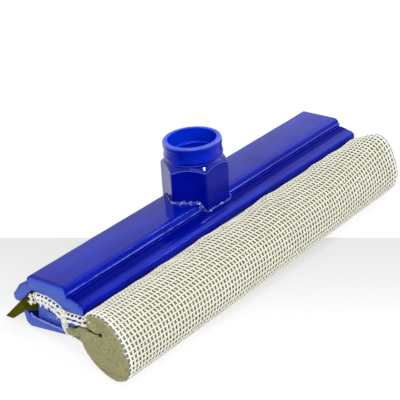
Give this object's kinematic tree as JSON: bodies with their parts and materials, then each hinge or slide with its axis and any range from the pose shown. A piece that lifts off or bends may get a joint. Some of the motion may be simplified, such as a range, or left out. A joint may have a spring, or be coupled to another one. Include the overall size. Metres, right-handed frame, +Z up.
{
  "type": "window squeegee",
  "caption": "Window squeegee head with a rubber blade, a netted sponge roll and a threaded hexagonal socket for a pole.",
  "frame": {"origin": "on the surface the head rests on, under the middle of its length and depth", "axes": "+X along the bar, +Y from the sponge towards the blade, +Z up; the socket's axis leans back towards +Y by 10.16 degrees, as the head rests on its roll and the blade's edge"},
  "size_m": [0.2064, 0.0735, 0.0581],
  "materials": {
    "blue_plastic": "moulded, glossy, with soft flow ripples",
    "blade_rubber": "dark olive, matt, cut square at the ends",
    "sponge_foam": "open-cell foam, sawn faces",
    "net_cotton": "knitted netting, small oblong holes",
    "screw_steel": "zinc plated"
  },
  "bodies": {
    "root": {"bar": "blue_plastic", "pole_socket": "blue_plastic", "clamp_bar": "blue_plastic", "blade": "blade_rubber", "sponge": "sponge_foam", "net_sleeve": "net_cotton", "clamp_screw_1": "screw_steel", "clamp_screw_2": "screw_steel", "clamp_screw_3": "screw_steel", "clamp_screw_4": "screw_steel", "clamp_screw_5": "screw_steel", "clamp_screw_6": "screw_steel"}
  },
  "joints": []
}
